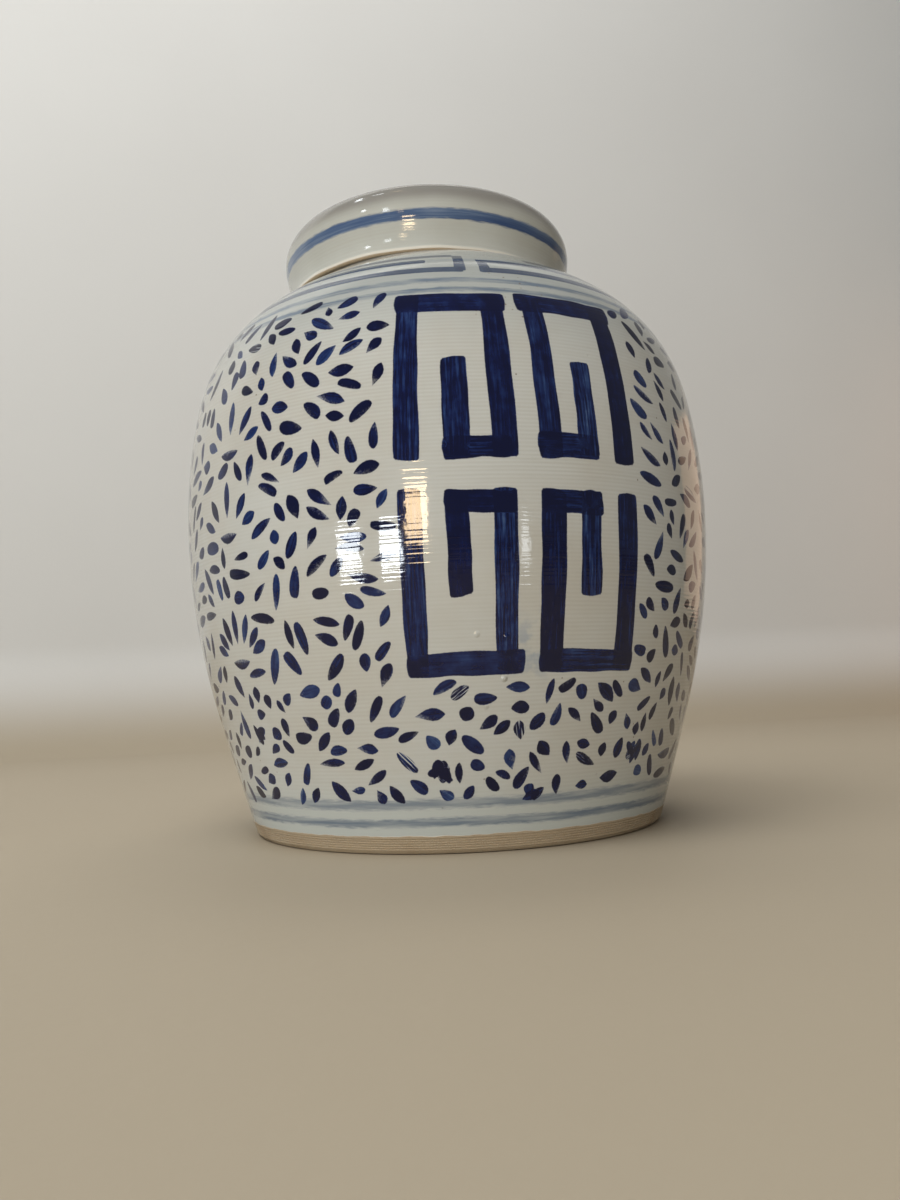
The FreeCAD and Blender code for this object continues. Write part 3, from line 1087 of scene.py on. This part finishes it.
def camera():
    """The camera, low in front and a little to the left; returns where it stands."""
    lens = bpy.data.cameras.new("camera")
    lens.sensor_width = 36.0
    lens.lens = CAMERA_LENS
    lens.clip_start = 0.01
    eye = bpy.data.objects.new("camera", lens)
    bpy.context.scene.collection.objects.link(eye)
    bearing = math.radians(CAMERA_BEARING)
    away, height = CAMERA_AWAY, CAMERA_HEIGHT
    at = Vector((away * math.cos(bearing), away * math.sin(bearing), height))
    rise = math.tan(math.radians(CAMERA_RISE))
    aim(eye, at, (0, 0, height + away * rise), math.radians(CAMERA_ROLL))
    bpy.context.scene.camera = eye
    return at


def mirrored_light(eye, curve, axis_x, bearing, height, away, size, power, colour, name, only=None):
    """A light that the glaze mirrors to the camera from the spot at this bearing and height on a turned side."""
    radius, out, up = (float(curve.read(key, height, by="z")) for key in ("r", "out_r", "out_z"))
    spot = Vector((axis_x + radius * math.sin(bearing), -radius * math.cos(bearing), height)) * MM
    normal = Vector((out * math.sin(bearing), -out * math.cos(bearing), up))
    ray = (spot - eye).normalized()
    bounce = ray - 2 * ray.dot(normal) * normal
    return area_light(name, spot + bounce * away, spot, size, power, colour, True, only)


def lighting(eye, wall, lid_side):
    world = bpy.data.worlds.new("room")
    world.use_nodes = True
    world.node_tree.nodes["Background"].inputs[0].default_value = (0.84, 0.84, 0.83, 1)
    world.node_tree.nodes["Background"].inputs[1].default_value = 0.23
    bpy.context.scene.world = world
    cool, warm = (0.90, 0.96, 1.0), (1.0, 0.74, 0.44)
    jar_only, lid_only = bpy.data.collections.new("jar_only"), bpy.data.collections.new("lid_only")
    jar_only.objects.link(bpy.data.objects["jar_painted"])
    jar_only.objects.link(bpy.data.objects["lid_glazed"])
    lid_only.objects.link(bpy.data.objects["lid_glazed"])
    mirrored_light(eye, wall, 0.0, -0.415, 89, 1.2, (0.18, 0.40), 7.5, cool, "window", jar_only)
    mirrored_light(eye, wall, 0.0, -0.547, 98, 1.2, (0.20, 0.15), 2.2, cool, "window_far", jar_only)
    mirrored_light(eye, wall, 0.0, -0.335, 109, 1.2, (0.19, 0.24), 3.6, warm, "lamp", jar_only)
    mirrored_light(eye, wall, 0.0, -0.010, 94, 1.2, (0.06, 0.30), 0.5, cool, "gap", jar_only)
    panes = (
        (-0.66, 239.4, 0.10, cool), (-0.53, 239.8, 0.13, cool), (-0.40, 240.0, 0.11, warm),
        (-0.62, 220.6, 0.09, cool), (-0.48, 221.6, 0.11, cool), (-0.38, 222.4, 0.10, warm),
    )
    for letter, (bearing, height, size, colour) in zip("abcdef", panes):
        shape = (size, size * 0.8)
        mirrored_light(
            eye, lid_side, LID_AXIS, bearing, height, 1.4, shape, 0.35, colour, "pane_" + letter, lid_only,
        )
    area_light("ceiling", (-0.5, -0.7, 1.7), (0, 0.1, 0.1), (1.2, 1.2), 19.5, (0.96, 0.98, 1.0))
    area_light("left_side", (-1.6, -0.2, 0.7), (0, 0, 0.12), (0.7, 1.0), 4.0, (0.98, 0.99, 1.0))
    area_light("right_side", (1.1, 0.50, 0.3), (0, 0, 0.12), (0.5, 0.5), 0.5, (1.0, 0.62, 0.38), mirrored=True)
    area_light("front", (-0.9, -1.5, 0.3), (0, 0, 0.1), (1.2, 1.0), 4.4, (0.97, 0.99, 1.0), False, jar_only)
    sweep_only = bpy.data.collections.new("sweep_only")
    sweep_only.objects.link(bpy.data.objects["studio_sweep"])
    area_light("backdrop", (-0.9, -0.3, 1.5), (0, 0.72, 0.5), (0.9, 0.9), 5.0, (1.0, 1.0, 0.98), False, sweep_only)
    area_light("rear", (0.2, 0.55, 1.8), (0, 0, 0.1), (0.8, 0.5), 5.5, (1.0, 0.99, 0.97))
    bpy.context.scene.view_settings.view_transform = "Standard"


def main():
    wall = jar_piece([cobalt_glaze(), bare_clay(), inner_glaze()])
    lid_side = lid_piece([celadon_lid(), bare_clay()])
    studio_sweep()
    eye = camera()
    lighting(eye, wall, lid_side)


main()
